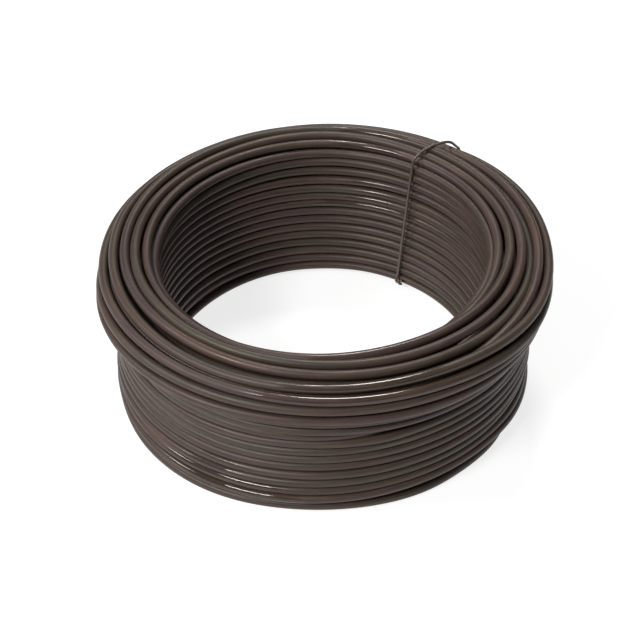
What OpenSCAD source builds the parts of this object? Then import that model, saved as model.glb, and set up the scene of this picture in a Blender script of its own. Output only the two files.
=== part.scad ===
// Coil of annealed iron wire, lying flat on its side face and held by one thin tie wire.
// The wound turns are one turned solid with its bore. Each turn of the outermost layers shows
// as a round crown on the bore wall, the outside and both ends.
// The upper layers spread wider than the lower ones, so the outside has a step, and they lie
// heaped to a rounded crest.
// Millimetres. Origin at the centre of the underside, +Z along the axis of the bore.

/* [Wire] */
// Diameter of the coiled wire
wire_d = 2.7; // [1.8:0.05:3.6]
// Least space between the crowns of two neighbouring turns
lay_gap = 0.06; // [0.02:0.01:0.15]
// Thickness of the web that joins two neighbouring turns below their crowns
web_t = 0.7; // [0.5:0.05:1.2]
// How far the crowns are pressed flat in the bore and underneath
crown_flat = 0.08; // [0.05:0.01:0.15]

/* [Winding] */
// Diameter of the bore, over its crowns
bore_d = 92.8; // [70:0.2:102]
// Diameter over the lower layers
lower_d = 120.5; // [110:0.1:126]
// Diameter over the upper layers, which is the widest
upper_d = 129; // [126:0.2:160]
// Height of the wound turns, from the underside to the crowns of the crest
height = 49.3; // [46:0.1:62]
// Height of the lower layers, from the underside to the crowns on their step
lower_h = 30.4; // [20:0.1:33]
// Height of the upper layers that spread past the lower ones
upper_h = 17.9; // [14:0.1:21]
// Width of the slope from the crest to the widest turns
shoulder_w = 5.7; // [3:0.1:9]
// Height of the slope from the crest to the widest turns
shoulder_h = 9.65; // [5:0.05:14]
// Width of the slope from the crest to the top of the bore
rim_w = 4.2; // [2:0.1:7]
// Height of the slope from the crest to the top of the bore
rim_h = 4.2; // [2:0.1:8]

/* [Tie wire] */
// Diameter of the tie wire
tie_d = 0.7; // [0.5:0.05:1]
// Direction of the tie, seen from above and counted from +X
tie_azimuth = 55; // [0:1:359]
// Space between the tie and the turns that it passes
tie_gap = 0.1; // [0.05:0.05:0.2]
// Radius inside the tie's sharpest bends
tie_bend = 0.15; // [0.1:0.05:0.2]
// How far the tie stands off the outer slope, outward and upward alike
tie_slack = 1.6; // [0.4:0.1:1.9]
// Width over which the turns are drawn in beside the tie
draw_in_w = 16; // [12:1:30]

/* [Hidden] */
$fn = 96;
crown_fn = 32; // sides that draw one wire's section
tie_sides = 8;
tie_arc_step = 15; // degrees from one ring of the tie to the next in a bend

wire_r = wire_d / 2;
tie_r = tie_d / 2;
lay_pitch = wire_d + lay_gap;

// Depth that takes the tie with its space on both sides
draw_in = tie_d + 2 * tie_gap;

// Radii and heights at which the boundary turns' centres lie
r_bore = bore_d / 2 - crown_flat + wire_r;
r_lower = lower_d / 2 - wire_r;
r_upper = upper_d / 2 - wire_r;
r_crest_out = r_upper - shoulder_w;
r_crest_in = r_bore + rim_w;
z_base = wire_r - crown_flat;
z_step = lower_h - wire_r;
z_spread = height - upper_h + wire_r;
z_crest = height - wire_r;
z_shoulder = z_crest - shoulder_h;
z_rim = z_crest - rim_h;

// Corners of the wound section as [radius, height], anticlockwise from the foot of the bore
corners = [
    [r_bore, z_base],
    [r_lower, z_base],
    [r_lower, z_step],
    [r_upper, z_spread],
    [r_upper, z_shoulder],
    [r_crest_out, z_crest],
    [r_crest_in, z_crest],
    [r_bore, z_rim]
];

// Item i of a list that closes on itself
function ring_item(list, i) = list[(i + len(list)) % len(list)];

// How many spaces between turns fit from centre p to centre q
function lay_count(p, q) = max(1, floor(norm(q - p) / lay_pitch));

// Centres of every turn on the outline of the section
outline = [
    for (i = [0 : len(corners) - 1])
        let (p = corners[i], q = ring_item(corners, i + 1), n = lay_count(p, q))
            for (k = [0 : n - 1]) p + (q - p) * k / n
];

// Direction from p to q, in degrees
function heading(p, q) = atan2(q[1] - p[1], q[0] - p[0]);

// Joins two neighbouring turns below their crowns
module web(p, q) {
    translate(p)
        rotate(heading(p, q))
            translate([0, -web_t / 2])
                square([norm(q - p), web_t]);
}

// Half of the coil's section, with the crowns pressed flat in the bore and underneath
module wound_section() {
    intersection() {
        union() {
            polygon(outline);
            for (i = [0 : len(outline) - 1]) {
                translate(outline[i])
                    circle(d = wire_d, $fn = crown_fn);
                web(outline[i], ring_item(outline, i + 1));
            }
        }
        translate([bore_d / 2, 0])
            square([upper_d / 2, 2 * height]);
    }
}

// Radius of the arc that is half_w to each side and h deep
function arc_radius(half_w, h) = (half_w * half_w + h * h) / (2 * h);

// Shallow dip across the underside, above which the tie crosses clear of the floor
module dip_underneath() {
    dip_r = arc_radius(draw_in_w / 2, draw_in);
    translate([0, 0, draw_in - dip_r])
        rotate([0, 90, 0])
            cylinder(r = dip_r, h = upper_d);
}

// Shallow dip up the bore wall, in which the tie stays outside the bore
module dip_in_bore() {
    half_w = draw_in_w / 2;
    chord_x = sqrt(bore_d * bore_d / 4 - half_w * half_w);
    deepest_x = bore_d / 2 + draw_in;
    dip_r = arc_radius(half_w, deepest_x - chord_x);
    translate([deepest_x - dip_r, 0, -height])
        cylinder(r = dip_r, h = 3 * height);
}

// Distance from a turn's centre, and from a crown, to the middle of the tie that passes it
tie_off = tie_gap + tie_r;
tie_over = wire_r + tie_off;
sharp_r = tie_r + tie_bend;

// Circles that the middle of the tie is drawn around, anticlockwise, as [radius, height, size]:
// a sharp bend at each end of the bore and at the outer foot, and the turns of the upper layers
// with one loose place off the outer slope
tie_bends = [
    [bore_d / 2 + tie_off + sharp_r, tie_off + sharp_r, sharp_r],
    [lower_d / 2 + tie_off - sharp_r, tie_off + sharp_r, sharp_r],
    [r_upper, z_spread, tie_over],
    [r_upper, z_shoulder, tie_over],
    [(r_upper + r_crest_out) / 2 + tie_slack, (z_shoulder + z_crest) / 2 + tie_slack, tie_over],
    [r_crest_out, z_crest, tie_over],
    [r_crest_in, z_crest, tie_over],
    [bore_d / 2 + tie_off + sharp_r, z_rim + tie_over, sharp_r]
];

// Direction in which the straight tie between circles p and q faces outward
function facing(p, q) = heading(p, q) - acos((p[2] - q[2]) / norm([q[0] - p[0], q[1] - p[1]]));

// Places along the tie, each as [radius, height, direction of its outer side]
tie_route = [
    for (i = [0 : len(tie_bends) - 1])
        let (
            c = tie_bends[i],
            from = facing(ring_item(tie_bends, i - 1), c),
            to = facing(c, ring_item(tie_bends, i + 1)),
            turn = (to - from + 720) % 360,
            steps = max(1, ceil(turn / tie_arc_step))
        )
            for (k = [0 : steps])
                let (a = from + turn * k / steps)
                    [c[0] + c[2] * cos(a), c[1] + c[2] * sin(a), a]
];

// One ring of points round place p of the tie
function tie_ring(p) = [
    for (s = [0 : tie_sides - 1])
        let (a = 360 * s / tie_sides, out = tie_r * cos(a))
            [p[0] + out * cos(p[2]), tie_r * sin(a), p[1] + out * sin(p[2])]
];

// The wound turns as one turned solid
module wire_coil() {
    color([0.23, 0.2, 0.18])
        difference() {
            rotate_extrude()
                wound_section();
            rotate(tie_azimuth) {
                dip_underneath();
                dip_in_bore();
            }
        }
}

// The thin wire round the section, closed on itself
module tie_wire() {
    rings = len(tie_route);
    points = [for (p = tie_route) each tie_ring(p)];
    faces = [
        for (i = [0 : rings - 1])
            for (s = [0 : tie_sides - 1])
                let (
                    here = i * tie_sides,
                    next = ((i + 1) % rings) * tie_sides,
                    t = (s + 1) % tie_sides
                )
                    each [[here + s, here + t, next + t], [here + s, next + t, next + s]]
    ];
    color([0.42, 0.38, 0.34])
        rotate(tie_azimuth)
            polyhedron(points, faces);
}

wire_coil();
tie_wire();
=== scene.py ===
import math

import bpy
import numpy as np
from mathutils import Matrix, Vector


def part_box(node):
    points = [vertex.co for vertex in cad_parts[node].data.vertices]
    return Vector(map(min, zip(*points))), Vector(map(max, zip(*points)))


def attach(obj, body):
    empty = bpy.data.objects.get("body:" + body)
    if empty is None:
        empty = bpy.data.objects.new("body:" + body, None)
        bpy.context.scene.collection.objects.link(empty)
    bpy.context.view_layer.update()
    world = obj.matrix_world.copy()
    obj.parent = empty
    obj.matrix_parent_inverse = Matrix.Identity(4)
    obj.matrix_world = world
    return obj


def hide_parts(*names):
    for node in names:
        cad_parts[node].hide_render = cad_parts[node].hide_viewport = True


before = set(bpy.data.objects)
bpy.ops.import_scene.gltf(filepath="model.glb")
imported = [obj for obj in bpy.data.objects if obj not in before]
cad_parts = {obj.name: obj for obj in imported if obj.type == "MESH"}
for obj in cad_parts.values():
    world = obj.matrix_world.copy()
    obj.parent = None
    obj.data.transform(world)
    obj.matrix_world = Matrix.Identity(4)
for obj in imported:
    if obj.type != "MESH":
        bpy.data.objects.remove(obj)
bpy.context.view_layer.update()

# ---- the winding, in wire diameters --------------------------------------------------------------
# The coil is one wire. A turn runs clockwise from +X and is given at evenly spaced stations, as
# [radius, height] of the wire's middle. Its end is the next turn's start.
STEP = 3                                   # degrees between two stations
STATIONS = 360 // STEP                     # in a turn
CLOCKWISE = np.arange(STATIONS) * STEP     # each station's direction, clockwise from +X
AZIMUTH = -CLOCKWISE % 360                 # the same direction, anticlockwise from +X
ON_FLOOR = 0.5                             # height of a turn that lies on the floor
TIE_AZIMUTH = 56                           # where the tie crosses

# Rows of the outer wall from the floor up, at the front
OUTER = ((22.1, 0.5), (22.15, 1.5), (22.0, 2.5), (21.95, 3.55), (21.9, 4.6),
         (21.85, 5.65), (21.8, 6.7), (21.75, 7.7), (21.75, 8.65), (22.0, 10.9))
FIRST_END = (20.9, 0.5)                    # where the wire starts, tucked in under them

# Turns of the upper layers: up the outside, over the crest and down to the bore. Each is given in
# ten directions, in degrees clockwise from +X.
UPPER_DIRECTIONS = (0, 30, 60, 90, 125, 160, 190, 225, 270, 315)
UPPER = (
    ((22.9, 12.1), (22.7, 12.1), (22.6, 12.2), (22.25, 12.2), (22.8, 12.65),
     (22.95, 12.85), (22.4, 13.05), (22.2, 13.1), (22.4, 12.85), (22.8, 12.9)),
    ((23.15, 13.1), (23.3, 12.95), (23.3, 13.05), (23.0, 13.15), (23.75, 13.7),
     (23.5, 13.85), (22.45, 14.1), (22.55, 14.2), (22.8, 13.9), (23.2, 13.95)),
    ((23.3, 14.2), (23.5, 13.95), (23.35, 14.3), (23.1, 14.45), (23.4, 14.8),
     (23.35, 14.95), (22.4, 15.2), (22.5, 15.25), (22.85, 14.95), (23.3, 15.0)),
    ((23.4, 15.3), (23.85, 15.0), (23.2, 15.3), (22.95, 15.45), (22.8, 15.7),
     (22.75, 16.05), (22.35, 16.35), (22.35, 16.5), (22.65, 17.1), (22.65, 17.25)),
    ((22.4, 17.1), (22.4, 16.35), (22.1, 15.25), (21.9, 15.1), (21.75, 15.3),
     (21.8, 15.72), (21.6, 15.85), (21.5, 15.95), (22.6, 15.9), (24.05, 16.4)),
    ((23.5, 16.5), (23.6, 16.35), (22.45, 16.3), (22.0, 16.2), (21.9, 16.35),
     (21.65, 16.8), (21.55, 17.2), (21.55, 17.3), (21.75, 17.55), (21.9, 16.95)),
    ((21.55, 16.6), (21.55, 16.5), (21.1, 16.6), (20.7, 16.75), (20.55, 17.05),
     (20.5, 17.25), (20.35, 17.6), (20.45, 17.95), (20.6, 18.1), (20.6, 17.95)),
    ((20.65, 17.4), (20.55, 17.2), (20.05, 17.0), (19.5, 16.95), (19.5, 17.25),
     (19.4, 17.45), (19.15, 17.6), (19.15, 17.65), (19.45, 18.05), (19.55, 17.6)),
    ((19.45, 17.45), (19.05, 17.15), (18.4, 16.85), (18.25, 16.7), (18.4, 16.75),
     (18.3, 17.0), (18.1, 17.2), (18.3, 17.3), (18.65, 17.45), (18.65, 17.2)),
    ((18.35, 17.0), (18.1, 16.5), (17.95, 16.1), (17.8, 15.95), (17.7, 16.0),
     (17.6, 16.15), (17.35, 16.3), (17.5, 16.45), (18.05, 16.55), (17.9, 16.6)),
    ((17.7, 16.2), (17.5, 15.85), (17.65, 15.35), (17.7, 15.05), (17.7, 15.0),
     (17.6, 15.0), (17.35, 15.15), (17.55, 15.2), (17.9, 15.55), (17.85, 15.5)),
)

# Rows of the bore wall from the floor up, at the back, and the place above them where it starts
BORE = ((17.5, 1.0), (17.6, 2.1), (17.7, 3.2), (17.8, 4.3), (17.9, 5.35), (18.0, 6.4), (18.05, 7.5),
        (18.1, 8.6), (18.1, 9.7), (18.05, 10.7), (18.0, 11.75), (18.0, 12.85), (18.0, 13.95))
ABOVE_BORE = (17.85, 15.35)

# Layers inside the section, in the order in which the wire fills them: the radius of each, and its
# rows' heights. The third leaves out the row of the stray turn.
ROW_PITCH = 1.035
INNER = (
    (18.8, [0.5 + ROW_PITCH * j for j in range(15)]),
    (19.75, [0.5 + ROW_PITCH * j for j in reversed(range(16))]),
    (20.65, [1.02 + ROW_PITCH * j for j in range(15) if j != 8]),
    (21.6, [13.9, 12.9, 11.85]),
)
# Where the stray turn lies inside the section, and where it comes out between two outer rows
STRAY_IN = (20.65, 9.3)
STRAY_OUT = (21.85, 10.0)

# Stretches in which a turn crosses to its next place, in degrees clockwise
OUTER_CLIMB = (235, 305)
BORE_DROP = (3, 75)
TO_NEXT_LAYER = (3, 58)
TO_NEXT_ROW = (5, 80)
RAISED = 0.85                              # how far the tucked-in start lifts the rows above it


def ease(x, a, b):
    """0 up to a, 1 from b on, and a smooth rise between them."""
    t = np.clip((x - a) / (b - a), 0, 1)
    return t * t * (3 - 2 * t)


def along(a, b):
    """At each station, how far it is through the stretch from a to b degrees clockwise."""
    return ease(CLOCKWISE, a, b)


def near(centre, width):
    """At each station, a smooth bump that is 1 at `centre` degrees clockwise."""
    return np.exp(-((CLOCKWISE - centre) / width) ** 2)


def blend(p, q, share):
    """At each station, p where share is 0, q where it is 1, and a mix between them."""
    share = share[:, None]
    return (1 - share) * p + share * q


def between(a, b, c, d, t):
    """The point at share t of the way from b to c, on a smooth curve from a to d."""
    return b + 0.5 * t * (c - a + t * (2 * a - 5 * b + 4 * c - d + t * (3 * (b - c) + d - a)))


def lean(rz):
    """Moves a low row to the left of the axis, and a higher one to the right."""
    to_right = np.clip(0.13 * rz[:, 1] - 0.5, -0.15, 0.22)
    ends = near(8, 22) + near(180, 28)
    rz[:, 0] += np.where(to_right < 0, to_right * (1 - ends), to_right) * np.cos(np.radians(AZIMUTH))
    return rz


def outer_turn(i):
    """Turn i of the outer wall, which climbs to the next one at the back."""
    top = len(OUTER) - 1
    following = OUTER[i + 1] if i < top else UPPER[0][0]
    rz = blend(OUTER[i], following, along(*OUTER_CLIMB))
    if i == 0:
        rz = blend(FIRST_END, rz, along(14, 43))
    if i == top:                           # it lies lower where it doesn't pass over the stray turn
        passing = 1 - ease(np.abs(CLOCKWISE - 95), 55, 85)
        drop = np.where(CLOCKWISE < 85, 0.1, 0.6)
        rz[:, 1] -= drop * (1 - passing) * (1 - along(235, 290))
    else:                                  # the rows at the right lie on the tucked-in start
        raised = np.where(CLOCKWISE < 200, 1 - along(50, 125), along(285, 345))
        if i == 0:
            raised = raised * (CLOCKWISE > 200)
        rz[:, 1] += RAISED * raised * (1 - along(240, 360) if i == top - 1 else 1)
    if i == 0:                             # the lowest row draws in beside its start
        rz[:, 0] -= 0.36 * near(90, 28) + 0.3 * near(50, 9)
    if i < 3:                              # the lowest rows aren't quite round
        rz[:, 0] -= 0.16 * near(163, 12)
        rz[:, 0] += 0.28 * near(27, 10) if i else 0.26 * near(121, 18) - 0.25 * near(42, 9)
    if i == top - 1:                       # it makes room for the stray turn
        rz[:, 1] -= 0.2 * near(125, 22)
    return lean(rz)


def upper_turn(i):
    """Turn i of the upper layers, a smooth curve through its own places and its neighbours'."""
    last = i == len(UPPER) - 1
    before = UPPER[i - 1][-1] if i else OUTER[-1]
    end = ABOVE_BORE if last else UPPER[i + 1][0]
    after = end if last else UPPER[i + 1][1]
    places = np.array((before, *UPPER[i], end, after))
    at = np.array((UPPER_DIRECTIONS[-1] - 360, *UPPER_DIRECTIONS, 360, 360 + UPPER_DIRECTIONS[1]))
    slope = (places[2:] - places[:-2]) / (at[2:] - at[:-2])[:, None]
    places, at = places[1:-1], at[1:-1]
    k = np.searchsorted(at, CLOCKWISE, side="right") - 1
    gap = (at[k + 1] - at[k])[:, None]
    t = (CLOCKWISE - at[k])[:, None] / gap
    return ((2 * t**3 - 3 * t**2 + 1) * places[k] + (t**3 - 2 * t**2 + t) * gap * slope[k]
            + (3 * t**2 - 2 * t**3) * places[k + 1] + (t**3 - t**2) * gap * slope[k + 1])


def bore_row(j):
    """Row j of the bore wall, round the left, the back and the right."""
    below_top = len(BORE) - 1 - j
    r, z = np.repeat([BORE[j]], STATIONS, 0).T
    lift_right = ease(-AZIMUTH, -94, -70) * np.exp(-j / 2.2)
    sink_left = ease(AZIMUTH, 100, 150) * np.exp(-j / 0.45)
    rise_right = (1 - ease(AZIMUTH, 95, 135)) * np.exp(-below_top / 2.5)
    z = z + (0.15 * lift_right - 0.5 * sink_left + 0.3 * rise_right)
    to_right = 0.25 * np.clip((z - 4) / 9, 0, 1)
    return np.stack([r + to_right * np.cos(np.radians(AZIMUTH)), z], 1)


def bore_turn(j):
    """Turn j of the bore wall, which comes down from the row above at the hidden front."""
    top = len(BORE) - 1
    start = bore_row(j + 1)[0] if j < top else ABOVE_BORE
    rz = blend(start, bore_row(j), along(*BORE_DROP))
    # at the front the low rows lie closer together, and the highest ones rise at the right
    rz[:, 1] *= 1 - 0.035 * (1 - j / top) * along(10, 60) * (1 - along(120, 170))
    rz[:, 1] += 0.35 * np.exp((j - top) / 2) * near(62, 30)
    return rz


def inner_turns(start):
    """The turns of the inner layers, from the end of the bore wall on."""
    turns = []
    here = start
    for radius, heights in INNER:
        crossing = TO_NEXT_LAYER
        for height in heights:
            turns.append(blend(here, (radius, height), along(*crossing)))
            here = (radius, height)
            crossing = TO_NEXT_ROW
    # the last layer's first two turns run through the hollow under the crest at the back right
    leaving = along(300, 360)
    hollow = np.stack([22.95 - 0.45 * leaving, 16.0 - 0.2 * leaving], 1)
    turns[-3] = blend(turns[-3], hollow, along(275, 300))
    turns[-2] = blend(turns[-2], hollow[-1], 1 - along(0, 50))
    return turns


def stray_turn(start):
    """The wire's last turn, which shows between two rows of the outer wall at the front."""
    rz = blend(start, STRAY_IN, along(0, 30))
    return blend(rz, STRAY_OUT, along(55, 85) * (1 - along(130, 158)))


def lay():
    """Every turn before it is settled, and its give: how far its neighbours push it, from 0 to 1."""
    outer = [outer_turn(i) for i in range(len(OUTER))]
    upper = [upper_turn(i) for i in range(len(UPPER))]
    bore = [bore_turn(j) for j in reversed(range(len(BORE)))]
    inner = inner_turns(bore[-1][-1])
    stray = [stray_turn(inner[-1][-1])]
    layers = ((outer, 0.35), (upper, 0.15), (bore, 0.25), (inner, 1.0), (stray, 0.5))
    turns = np.array([turn for layer, _ in layers for turn in layer])
    give = np.array([give for layer, give in layers for _ in layer])
    return turns, give


SEED = 11
ROUNDS = 160
TOUCH = 1.005                              # middle to middle, for two turns that touch
IN_REACH = 1.8                             # turns that never come this near aren't compared
PUSH = 1.2                                 # share of an overlap that a round takes away
HOLD_SHOWN, HOLD_HIDDEN = 0.08, 0.01       # share of the way back to its place in a round
SMOOTH = 0.12                              # share of a kink that a round takes away
TIE_LIFT, TIE_REACH = 0.3, 5.0             # how far the tie lifts the lowest turns, over which angle
# How the wire wanders: in radius (0) or height (1), stations from one bend to the next, and size
WAVES = ((0, 14, 0.035), (1, 14, 0.03), (0, 6, 0.012), (1, 6, 0.012))


def wander(rng, n, every, size):
    """n values that drift smoothly, with a new random one each `every` stations."""
    knots = rng.normal(0, size, n // every + 4)
    x = np.arange(n) / every
    i = x.astype(int)
    return between(knots[i], knots[i + 1], knots[i + 2], knots[i + 3], x - i)


def settle(turns, give):
    """Pushes overlapping turns apart, holds each near its place, and keeps them above the floor."""
    rng = np.random.default_rng(SEED)
    places = turns.copy()
    for axis, every, size in WAVES:
        places[..., axis] += wander(rng, len(turns) * STATIONS, every, size).reshape(-1, STATIONS)
    lowest = ON_FLOOR + TIE_LIFT * np.exp(-((AZIMUTH - TIE_AZIMUTH) / TIE_REACH) ** 2)
    hold = np.where(give < 0.5, HOLD_SHOWN, HOLD_HIDDEN)[:, None, None]
    give = give[:, None, None]
    one, other = np.triu_indices(len(turns), 1)
    in_reach = ((places[one] - places[other]) ** 2).sum(-1).min(1) < IN_REACH ** 2
    one, other = one[in_reach], other[in_reach]
    turns = places.copy()
    for _ in range(ROUNDS):
        apart = turns[one] - turns[other]
        distance = np.sqrt((apart ** 2).sum(-1)) + 1e-9
        overlap = np.clip(TOUCH - distance, 0, None)
        push = (0.5 * overlap / distance)[..., None] * apart
        moved = np.zeros_like(turns)
        np.add.at(moved, one, push)
        np.add.at(moved, other, -push)
        turns += moved * give * PUSH
        turns += hold * (places - turns)
        wire = turns.reshape(-1, 2)        # the same values, as one line
        wire[1:-1] += SMOOTH * (wire[:-2] + wire[2:] - 2 * wire[1:-1])
        turns[..., 1] = np.maximum(turns[..., 1], lowest)
    return turns


# ---- real sizes, in metres -----------------------------------------------------------------------
WIRE_D = 0.0027
WIRE_R = WIRE_D / 2
TIE_R = 0.00043
coil_low, coil_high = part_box("wire_coil")
AXIS_X, AXIS_Y = (coil_low[0] + coil_high[0]) / 2, (coil_low[1] + coil_high[1]) / 2
FLOOR_Z = coil_low[2]
SIDES = 12                                 # of a wire's section
FINE = 2                                   # points of the coiled wire to each station
PER_TURN = STATIONS * FINE


def place(r, z, az):
    """Points from radii and heights in metres, and azimuths in radians."""
    return np.stack([AXIS_X + r * np.cos(az), AXIS_Y + r * np.sin(az), FLOOR_Z + z], 1)


def fine_path(turns):
    """Points along the middle of the whole wire, and the azimuth of each in radians."""
    wire = turns.reshape(-1, 2)
    knots = np.column_stack([np.arange(len(wire)) * float(STEP), wire])
    step_in, step_out = knots[1] - knots[0], knots[-1] - knots[-2]
    knots = np.vstack([knots[0] - step_in, knots, knots[-1] + step_out, knots[-1] + 2 * step_out])
    a, b, c, d = knots[:-3], knots[1:-2], knots[2:-1], knots[3:]
    points = np.stack([between(a, b, c, d, k / FINE) for k in range(FINE)], 1)
    clockwise, r, z = points.reshape(-1, 3).T
    az = -np.radians(clockwise)
    return place(r * WIRE_D, z * WIRE_D, az), az


def distances(points):
    """How far along the line each point lies."""
    return np.concatenate([[0], np.cumsum(np.linalg.norm(np.diff(points, axis=0), axis=1))])


# ---- tubes ---------------------------------------------------------------------------------------
UV_MARGIN = 0.03                           # share of a row's height, above and below the wire
END_BAND = 0.04                            # foot of the UV square, which holds the two ends
END_SIZE = 0.015                           # radius of an end in the UV square


def tube_faces(n):
    """The corners of all faces in one list, and how many each has: n - 1 bands, then two ends."""
    ring = np.arange(n - 1)[:, None] * SIDES
    here = np.arange(SIDES)
    beside = (here + 1) % SIDES
    bands = np.stack([ring + here, ring + beside, ring + SIDES + beside, ring + SIDES + here], -1)
    corners = np.concatenate([bands.ravel(), here[::-1], (n - 1) * SIDES + here])
    counts = np.array([4] * ((n - 1) * SIDES) + [SIDES, SIDES])
    return corners, counts


def tube_uv(n, per_row, circle):
    """The UV of every corner: rows of per_row bands each, and the two ends below them."""
    band = np.arange(n - 1)[:, None]
    row, column = band // per_row, band % per_row
    rows = row.max() + 1
    corner = np.arange(SIDES)
    low, high = ((k / SIDES) * (1 - 2 * UV_MARGIN) + UV_MARGIN for k in (corner, corner + 1))
    u0, u1 = column / per_row + 0 * low, (column + 1) / per_row + 0 * low
    v0, v1 = (row + low) / rows, (row + high) / rows
    uv = np.stack([u0, v0, u0, v1, u1, v1, u1, v0], -1).reshape(-1, 2)
    uv[:, 1] = END_BAND + (1 - END_BAND) * uv[:, 1]
    middle = END_BAND / 2
    end = END_SIZE * circle
    return np.vstack([uv, end + (middle, middle), end + (3 * middle, middle)])


def add_attribute(me, name, kind, key, values):
    layer = me.attributes.new(name, kind, "POINT")
    layer.data.foreach_set(key, values.astype(np.float32).ravel())


def tube(name, points, facing, radius, material, at=None, rubbed=None, per_row=None):
    """A round wire along points, closed at both ends. facing is the way that its first corner faces
    at each point. at is how far along the whole wire each point lies, and rubbed how bright it is
    rubbed there. per_row is the number of bands in a row of its UVs."""
    n = len(points)
    at = distances(points) if at is None else at
    rubbed = np.zeros(n) if rubbed is None else rubbed
    tangent = np.gradient(points, axis=0)
    tangent /= np.linalg.norm(tangent, axis=1)[:, None]
    u = facing - (facing * tangent).sum(1)[:, None] * tangent
    u /= np.linalg.norm(u, axis=1)[:, None]
    v = np.cross(tangent, u)
    angle = np.arange(SIDES) * 2 * math.pi / SIDES
    circle = np.stack([np.cos(angle), np.sin(angle)], 1)
    ring = radius * (circle[None, :, :1] * u[:, None] + circle[None, :, 1:] * v[:, None])
    corners, counts = tube_faces(n)
    me = bpy.data.meshes.new(name)
    me.vertices.add(n * SIDES)
    me.vertices.foreach_set("co", (points[:, None] + ring).astype(np.float32).ravel())
    me.loops.add(len(corners))
    me.loops.foreach_set("vertex_index", corners.astype(np.int32))
    me.polygons.add(len(counts))
    starts = np.concatenate([[0], np.cumsum(counts)[:-1]])
    me.polygons.foreach_set("loop_start", starts.astype(np.int32))
    me.polygons.foreach_set("loop_total", counts.astype(np.int32))
    me.update(calc_edges=True)
    me.polygons.foreach_set("use_smooth", counts == 4)
    uv = tube_uv(n, per_row or n - 1, circle)
    me.uv_layers.new(name="OFBake").data.foreach_set("uv", uv.astype(np.float32).ravel())
    # the wire's surface as if it lay straight along X, which the materials are drawn on
    straight = np.column_stack([np.repeat(at, SIDES), np.tile(circle, (n, 1)) * WIRE_R])
    add_attribute(me, "straight", "FLOAT_VECTOR", "vector", straight)
    add_attribute(me, "rubbed", "FLOAT", "value", np.repeat(rubbed, SIDES))
    ob = bpy.data.objects.new(name, me)
    bpy.context.scene.collection.objects.link(ob)
    me.validate()
    me.materials.append(material)
    return ob


# ---- materials -----------------------------------------------------------------------------------
class Nodes:
    """A material's node tree, with short calls for the nodes that it needs."""

    def __init__(self, name):
        self.mat = bpy.data.materials.new(name)
        self.mat.use_nodes = True
        self.tree = self.mat.node_tree
        self.tree.nodes.clear()

    def add(self, kind, **props):
        node = self.tree.nodes.new(kind)
        for name, value in props.items():
            setattr(node, name, value)
        return node

    def put(self, socket, value):
        """Links a socket to another, or sets it to a number or a colour."""
        if isinstance(value, bpy.types.NodeSocket):
            self.tree.links.new(value, socket)
        elif isinstance(value, (int, float)):
            socket.default_value = value
        else:
            socket.default_value = (*value, 1)

    def attribute(self, name, output):
        node = self.add("ShaderNodeAttribute", attribute_name=name, attribute_type="GEOMETRY")
        return node.outputs[output]

    def noise(self, vector, scale, detail, rough):
        node = self.add("ShaderNodeTexNoise")
        for name, value in (("Vector", vector), ("Scale", scale), ("Detail", detail), ("Roughness", rough)):
            self.put(node.inputs[name], value)
        return node.outputs["Fac"]

    def drawn_noise(self, vector, lengthwise, across, detail, rough):
        """Noise that is drawn out along the wire."""
        node = self.add("ShaderNodeVectorMath", operation="MULTIPLY")
        self.put(node.inputs[0], vector)
        node.inputs[1].default_value = (lengthwise, across, across)
        return self.noise(node.outputs[0], 1.0, detail, rough)

    def ramp(self, fac, *stops):
        """A colour ramp from stops, each a place and a grey or a colour."""
        node = self.add("ShaderNodeValToRGB")
        elements = node.color_ramp.elements
        while len(elements) < len(stops):
            elements.new(0.5)
        for element, (at, colour) in zip(elements, stops):
            element.position = at
            element.color = (colour,) * 3 + (1,) if isinstance(colour, (int, float)) else (*colour, 1)
        self.put(node.inputs["Fac"], fac)
        return node.outputs["Color"]

    def mix(self, fac, a, b, mode="MIX"):
        node = self.add("ShaderNodeMix", data_type="RGBA", blend_type=mode)
        for k, value in ((0, fac), (6, a), (7, b)):    # the colour sockets of this node
            self.put(node.inputs[k], value)
        return node.outputs[2]

    def calc(self, operation, *values):
        node = self.add("ShaderNodeMath", operation=operation)
        for socket, value in zip(node.inputs, values):
            self.put(socket, value)
        return node.outputs[0]

    def finish(self, shader):
        self.put(self.add("ShaderNodeOutputMaterial").inputs["Surface"], shader.outputs[0])
        return self.mat


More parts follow.
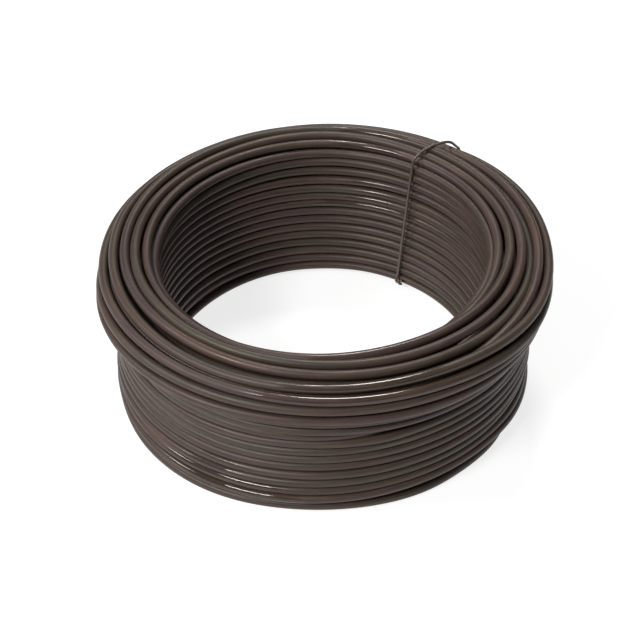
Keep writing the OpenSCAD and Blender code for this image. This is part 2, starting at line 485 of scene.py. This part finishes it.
def annealed(name, body, drift, worn, sheen, ior, rough, bump):
    """Iron wire with its dark annealing scale: a hue that drifts along the wire, drawn streaks, and
    dull specks. Where it is rubbed it shines. drift gives two hues on each side of the body's, and
    rough the roughness from the smoothest blotches to the dullest."""
    nodes = Nodes(name)
    along_wire = nodes.attribute("straight", "Vector")
    rubbed = nodes.attribute("rubbed", "Fac")
    slow = nodes.drawn_noise(along_wire, 9, 120, 2, 0.5)            # hue patches of 5 to 15 cm
    blotch = nodes.drawn_noise(along_wire, 60, 500, 3, 0.6)         # blotches of a centimetre or two
    streaks = nodes.drawn_noise(along_wire, 70, 5200, 3, 0.6)       # drawn streaks
    hairs = nodes.drawn_noise(along_wire, 260, 11000, 2, 0.5)       # hair-fine streaks
    broken = nodes.drawn_noise(along_wire, 100, 900, 3, 0.7)        # gaps in a rubbed stretch
    grain = nodes.noise(along_wire, 5200, 3, 0.65)                  # grain of the scale

    hues = (drift[0], drift[1], body, drift[2], drift[3])
    colour = nodes.ramp(slow, *zip((0.32, 0.43, 0.50, 0.57, 0.68), hues))
    for shade in (nodes.ramp(blotch, (0.25, 0.74), (0.5, 1.0), (0.75, 1.25)),
                  nodes.ramp(streaks, (0.36, 0.70), (0.5, 0.98), (0.62, 1.18), (0.74, 1.75)),
                  nodes.ramp(grain, (0.3, 0.86), (0.7, 1.14))):
        colour = nodes.mix(1.0, colour, shade, "MULTIPLY")
    bare = nodes.calc("MULTIPLY", nodes.ramp(hairs, (0.62, 0.0), (0.76, 1.0)), 0.55)
    colour = nodes.mix(bare, colour, worn)

    dull = nodes.calc("MULTIPLY_ADD", blotch, rough[1] - rough[0], rough[0])
    dull = nodes.calc("ADD", dull, nodes.calc("MULTIPLY_ADD", streaks, -0.45, 0.225))
    shine = nodes.calc("MULTIPLY", rubbed, nodes.ramp(broken, (0.28, 0.0), (0.44, 1.0)))
    relief = nodes.add("ShaderNodeBump")
    nodes.put(relief.inputs["Strength"], nodes.calc("MULTIPLY_ADD", rubbed, -0.9 * bump, bump))
    nodes.put(relief.inputs["Distance"], 0.00004)
    nodes.put(relief.inputs["Height"], nodes.calc("ADD", streaks, nodes.calc("MULTIPLY", grain, 0.7)))

    shader = nodes.add("ShaderNodeBsdfPrincipled")
    nodes.put(shader.inputs["Base Color"], colour)
    nodes.put(shader.inputs["Specular Tint"], sheen)
    nodes.put(shader.inputs["Roughness"], nodes.calc("MULTIPLY_ADD", shine, -0.40, dull))
    nodes.put(shader.inputs["IOR"], ior)
    nodes.put(shader.inputs["Normal"], relief.outputs["Normal"])
    return nodes.finish(shader)


# ---- the coiled wire -----------------------------------------------------------------------------
# Stretches rubbed bright: the turn, from and to which azimuth in degrees, and how bright
RUBBED = ((1, 223, 268, 1.0), (2, 222, 264, 1.0), (3, 228, 252, 0.8), (4, 232, 252, 0.6), (8, 236, 250, 0.5),
          (13, 250, 308, 1.0), (15, 256, 306, 0.9), (16, 236, 252, 0.4), (18, 262, 306, 0.6),
          (16, 56, 88, 1.0), (18, 58, 90, 1.0), (22, 58, 84, 0.7), (23, 60, 82, 0.6), (24, 57, 86, 0.8),
          (25, 46, 94, 1.0))
RUB_FADE = 8                               # degrees over which a stretch fades at each end


def rubbed_along(az):
    """How bright the wire is rubbed at each of its points."""
    bright = np.zeros(len(az))
    turn_at = np.arange(len(az)) // PER_TURN
    degrees = np.degrees(az) % 360
    for turn, a, b, much in RUBBED:
        shown = ease(degrees, a, a + RUB_FADE) * (1 - ease(degrees, b - RUB_FADE, b))
        bright += much * (turn_at == turn) * shown
    return bright


wire_mat = annealed(
    "annealed_iron", body=(0.077, 0.048, 0.036),
    drift=((0.064, 0.051, 0.036), (0.065, 0.047, 0.036), (0.070, 0.046, 0.044), (0.091, 0.052, 0.036)),
    worn=(0.18, 0.13, 0.105), sheen=(1.0, 0.93, 0.88), ior=1.5, rough=(0.40, 0.54), bump=0.36)

turns = settle(*lay())
wire_points, wire_az = fine_path(turns)
radial = np.stack([np.cos(wire_az), np.sin(wire_az), 0 * wire_az], 1)
wire_at = distances(wire_points)
rubbed = rubbed_along(wire_az)
# The wire in three pieces, each from its first turn to the next piece's first
PIECES = (("wire_outer_turns", 0, 24), ("wire_bore_turns", 24, 52), ("wire_inner_turns", 52, len(turns)))
for name, first, stop in PIECES:
    part = slice(first * PER_TURN, stop * PER_TURN + 1)
    ob = tube(name, wire_points[part], radial[part], WIRE_R, wire_mat,
              at=wire_at[part], rubbed=rubbed[part], per_row=PER_TURN)
    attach(ob, "root")
    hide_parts("wire_coil")

# ---- the tie -------------------------------------------------------------------------------------
TIE_OFF = WIRE_R + TIE_R + 0.00002         # from a turn's middle to the tie's, where it passes
TIE_LOWEST = TIE_R + 0.00003               # the tie's middle above the floor
TIE_SPACING = 0.0004                       # from point to point of the tie
# It slants: its azimuths at the foot of the bore, at the bore's rim and at the outer edge
FOOT_AZ, RIM_AZ, EDGE_AZ = 58, 54, 50
# It stands off the turns at a sharp bend over the bore and at a loose bight at the outer edge, which
# hold their place for the first rounds of its draping. In (radius, height).
BEND, BEND_ROUNDS = np.array([17.3, 18.15]) * WIRE_D, 57
BIGHT, BIGHT_ROUNDS = np.array([22.8, 18.55]) * WIRE_D, 24
DRAPE_ROUNDS = 60
DRAPE_SMOOTH = 0.25                        # share of a kink that a round takes away
CLEAR_EVERY = 6                            # rounds from one clearing of the turns to the next
SLANT_ROUNDS = 12                          # rounds that ease the slant from stretch to stretch


def section_at(az):
    """Every turn's (radius, height) in metres at an azimuth in degrees."""
    station = (-az % 360) / STEP
    i = int(station)
    t = station - i
    wire = turns.reshape(-1, 2)
    k = np.arange(len(turns)) * STATIONS + i
    following = np.minimum(k + 1, len(wire) - 1)
    return ((1 - t) * wire[k] + t * wire[following]) * WIRE_D


def hull(points):
    """The corners of the band that is stretched round all points, anticlockwise."""
    points = sorted(map(tuple, points))

    def half(run):
        kept = []
        for p in run:
            while len(kept) > 1:
                a, b = kept[-2:]
                if (b[0] - a[0]) * (p[1] - a[1]) - (b[1] - a[1]) * (p[0] - a[0]) > 0:
                    break
                kept.pop()
            kept.append(p)
        return kept[:-1]
    return np.array(half(points) + half(reversed(points)))


def resample(points, gap):
    """Points at even distances of about `gap` along the same line."""
    at = distances(points)
    even = np.linspace(0, at[-1], int(at[-1] / gap) + 1)
    return np.stack([np.interp(even, at, values) for values in points.T], 1)


def tie_outline():
    """The tie stretched round the section, from the foot of the bore up, over, down and back."""
    a = np.linspace(0, 2 * math.pi, 33)[:-1]
    circle = TIE_OFF * np.stack([np.cos(a), np.sin(a)], 1)
    rings = (section_at(TIE_AZIMUTH)[:, None] + circle).reshape(-1, 2)
    band = hull(np.vstack([rings, BEND, BIGHT]))
    foot = np.argmin(band[:, 0] * 3 + band[:, 1])      # the corner at the foot of the bore
    band = np.roll(band, -foot, 0)[::-1]   # clockwise, up the bore first
    return resample(np.vstack([band[-1], band]), TIE_SPACING)


def tie_slant(points):
    """The azimuth of each point of the tie, in degrees."""
    r, z = points.T / WIRE_D               # the stretches are told apart in wire diameters
    in_bore = (r < 18.4) & (z < 18)
    up_bore = np.interp(z, [0, 18], [FOOT_AZ, RIM_AZ])
    over_top = np.interp(r, [19, 23], [RIM_AZ, EDGE_AZ])
    underneath = np.interp(r + z, [17, 34], [FOOT_AZ, EDGE_AZ])
    az = np.select([in_bore, z > 10], [up_bore, over_top], underneath)
    for _ in range(SLANT_ROUNDS):
        az[1:-1] = (az[:-2] + az[1:-1] + az[2:]) / 3
    return az


def clear_turns(points, az):
    """Moves each point but the two ends out of the turn that it is nearest to."""
    for i in range(1, len(points) - 1):
        section = section_at(az[i])
        apart = points[i] - section
        distance = np.linalg.norm(apart, axis=1)
        j = distance.argmin()
        if distance[j] < TIE_OFF:
            points[i] = section[j] + apart[j] / distance[j] * TIE_OFF


def drape(points, az):
    """Smooths the tie, and keeps it out of the turns and off the floor."""
    held = [(((points - pin) ** 2).sum(1).argmin(), pin, rounds)
            for pin, rounds in ((BEND, BEND_ROUNDS), (BIGHT, BIGHT_ROUNDS))]
    for n in range(DRAPE_ROUNDS):
        points[1:-1] += DRAPE_SMOOTH * (points[:-2] + points[2:] - 2 * points[1:-1])
        for k, pin, rounds in held:
            if n < rounds:
                points[k] = pin
        if (n + 1) % CLEAR_EVERY == 0:
            clear_turns(points, az)
        points[:, 1] = np.maximum(points[:, 1], TIE_LOWEST)


# The tie's two ends make one full twist. It starts a little inward and up from the tie's foot, and
# points right, inward and down.
END_LENGTH = 0.0021
END_SPREAD = TIE_R * 1.25                  # from the middle of the twist to each end
END_PHASE = 0.4                            # where the first end starts round it, in radians
END_IN, END_UP = 0.0004, 0.0011
END_RIGHTWARD, END_INWARD, END_DOWNWARD = 0.95, 0.2, 0.05


def twisted_end(start, axis, u, v, phase):
    """One of two wires twisted about the axis, which part a little at their tips."""
    t = np.linspace(0, 1, 60)
    a = phase + 2 * math.pi * t
    spread = END_SPREAD * (1 + 2 * np.clip(t - 0.75, 0, 1))
    middle = start + axis * (t * END_LENGTH)[:, None]
    return middle + (spread * np.cos(a))[:, None] * u + (spread * np.sin(a))[:, None] * v


tie_mat = annealed(
    "tie_iron", body=(0.14, 0.105, 0.083),
    drift=((0.095, 0.070, 0.055), (0.11, 0.082, 0.066), (0.14, 0.108, 0.088), (0.18, 0.14, 0.112)),
    worn=(0.30, 0.24, 0.20), sheen=(1.0, 0.94, 0.90), ior=1.6, rough=(0.30, 0.46), bump=0.3)

tie_rz = tie_outline()
tie_degrees = tie_slant(tie_rz)
drape(tie_rz, tie_degrees)
tie_az = np.radians(tie_degrees)
tie_points = place(tie_rz[:, 0], tie_rz[:, 1], tie_az)
sideways = np.stack([-np.sin(tie_az), np.cos(tie_az), 0 * tie_az], 1)
tie_pieces = [tube("tie_loop", tie_points, sideways, TIE_R, tie_mat)]

outward = np.array([math.cos(tie_az[0]), math.sin(tie_az[0]), 0])
rightward = np.array([math.sin(tie_az[0]), -math.cos(tie_az[0]), 0])
upward = np.array([0, 0, 1])
start = tie_points[0] - outward * END_IN + upward * END_UP
axis = rightward * END_RIGHTWARD - outward * END_INWARD - upward * END_DOWNWARD
axis /= np.linalg.norm(axis)
u = np.cross(axis, outward)
u /= np.linalg.norm(u)
v = np.cross(axis, u)
for name, phase in (("tie_end_1", END_PHASE), ("tie_end_2", END_PHASE + math.pi)):
    end = twisted_end(start, axis, u, v, phase)
    tie_pieces.append(tube(name, end, np.repeat(outward[None], len(end), 0), TIE_R, tie_mat))
for ob in tie_pieces:
    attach(ob, "root")
    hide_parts("tie_wire")


# ---- floor, light and camera ---------------------------------------------------------------------
FLOOR_HALF = 20.0
AIM = Vector((AXIS_X, AXIS_Y, FLOOR_Z + 0.02))
# Lamps: name, place from the middle of the coil's foot, width and length, and power in watts
LAMPS = (
    ("key_front_left", (-0.62, -0.68, 0.84), (0.4, 0.16), 8.5),
    ("side_left", (-0.95, -0.1, 0.75), (0.3, 0.3), 3.6),
    ("back_above", (0.07, 0.55, 1.0), (0.2, 0.2), 5.0),
    ("soft_above", (-0.2, -0.1, 1.2), (0.6, 0.6), 0.4),
)
WORLD_LIGHT = 0.14
CAMERA_BACK, CAMERA_UP = 0.3075, 0.2677    # from the middle of the coil's foot
CAMERA_DOWN, CAMERA_TURN = 39.12, 0.10     # how far it looks down and to the left, in degrees
CAMERA_LENS = 75.7                         # millimetres, on a sensor 36 wide


def floor_material():
    """Grey to the lamps, so that it keeps the coil's faint shadow, with a glow that makes it white
    where it is seen."""
    nodes = Nodes("white_floor")
    grey = nodes.add("ShaderNodeBsdfDiffuse")
    nodes.put(grey.inputs["Color"], (0.42, 0.42, 0.42))
    path = nodes.add("ShaderNodeLightPath")
    seen = nodes.calc("MAXIMUM", path.outputs["Is Glossy Ray"], path.outputs["Is Transmission Ray"])
    seen = nodes.calc("MAXIMUM", path.outputs["Is Camera Ray"], seen)
    glow = nodes.add("ShaderNodeEmission")
    nodes.put(glow.inputs["Color"], (1, 1, 1))
    nodes.put(glow.inputs["Strength"], nodes.calc("MULTIPLY", seen, 0.78))
    both = nodes.add("ShaderNodeAddShader")
    nodes.put(both.inputs[0], grey.outputs[0])
    nodes.put(both.inputs[1], glow.outputs[0])
    return nodes.finish(both)


def put_in_scene(name, data):
    ob = bpy.data.objects.new(name, data)
    bpy.context.scene.collection.objects.link(ob)
    return ob


def make_floor():
    me = bpy.data.meshes.new("floor")
    corners = ((-1, -1), (1, -1), (1, 1), (-1, 1))
    me.from_pydata([(x * FLOOR_HALF, y * FLOOR_HALF, FLOOR_Z) for x, y in corners], [], [(0, 1, 2, 3)])
    me.materials.append(floor_material())
    return put_in_scene("floor", me)


def make_world():
    world = bpy.data.worlds.new("studio")
    world.use_nodes = True
    tree = world.node_tree
    tree.nodes.clear()
    background = tree.nodes.new("ShaderNodeBackground")
    background.inputs["Color"].default_value = (1, 1, 1, 1)
    background.inputs["Strength"].default_value = WORLD_LIGHT
    output = tree.nodes.new("ShaderNodeOutputWorld")
    tree.links.new(background.outputs[0], output.inputs["Surface"])
    bpy.context.scene.world = world


def make_lamp(name, offset, size, power):
    lamp = bpy.data.lights.new(name, "AREA")
    lamp.shape = "RECTANGLE"
    lamp.size, lamp.size_y = size
    lamp.energy = power
    ob = put_in_scene(name, lamp)
    ob.location = (AXIS_X + offset[0], AXIS_Y + offset[1], FLOOR_Z + offset[2])
    ob.rotation_euler = (AIM - ob.location).to_track_quat("-Z", "Y").to_euler()


def make_camera():
    camera = bpy.data.cameras.new("camera")
    camera.sensor_width = 36.0
    camera.lens = CAMERA_LENS
    camera.clip_start = 0.01
    ob = put_in_scene("camera", camera)
    ob.location = (AXIS_X, AXIS_Y - CAMERA_BACK, FLOOR_Z + CAMERA_UP)
    ob.rotation_euler = (math.radians(90 - CAMERA_DOWN), 0, math.radians(CAMERA_TURN))
    bpy.context.scene.camera = ob


make_floor()
make_world()
for lamp in LAMPS:
    make_lamp(*lamp)
make_camera()
bpy.context.scene.view_settings.view_transform = "Standard"
